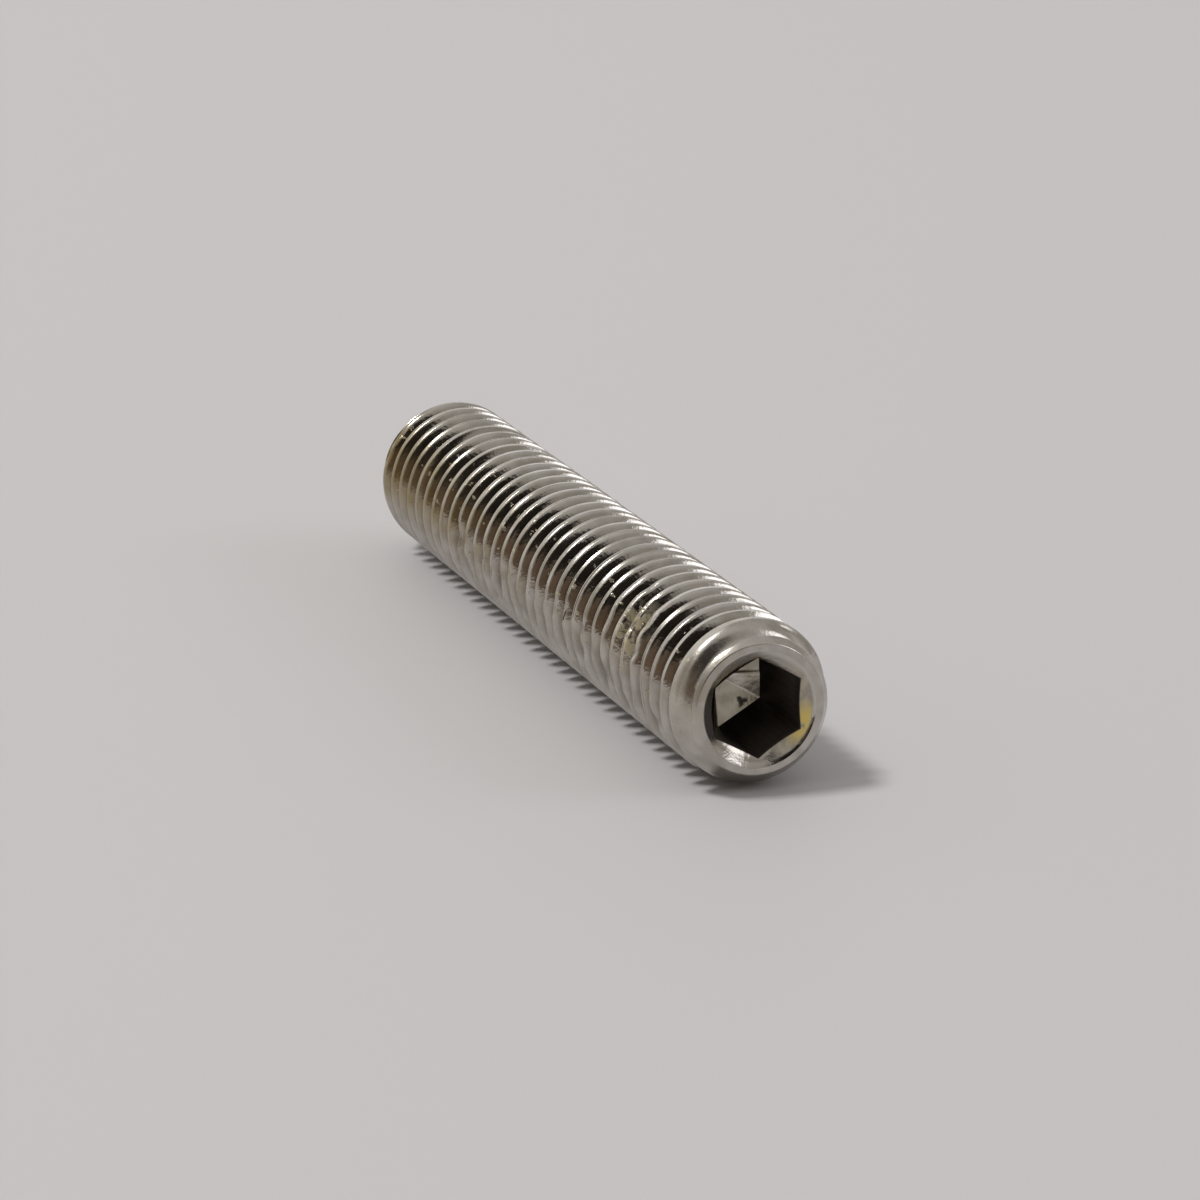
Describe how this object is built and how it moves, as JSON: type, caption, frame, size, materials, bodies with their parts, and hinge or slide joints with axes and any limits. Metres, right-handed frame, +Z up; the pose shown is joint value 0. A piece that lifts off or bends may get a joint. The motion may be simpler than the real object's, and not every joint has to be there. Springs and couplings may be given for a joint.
{
  "type": "socket set screw",
  "caption": "Headless threaded steel screw with a hexagon socket in one end and a flat point on the other, lying on its side.",
  "frame": {"origin": "under the middle of the screw's length, on the surface it lies on", "axes": "+X along the screw's axis, out of its socket end; +Z up; the tip points along -X"},
  "size_m": [0.035, 0.0058, 0.0059],
  "materials": {
    "stainless_steel": "bright rolled stainless steel with brown residue in the thread"
  },
  "bodies": {
    "root": {"set_screw": "stainless_steel"}
  },
  "joints": []
}
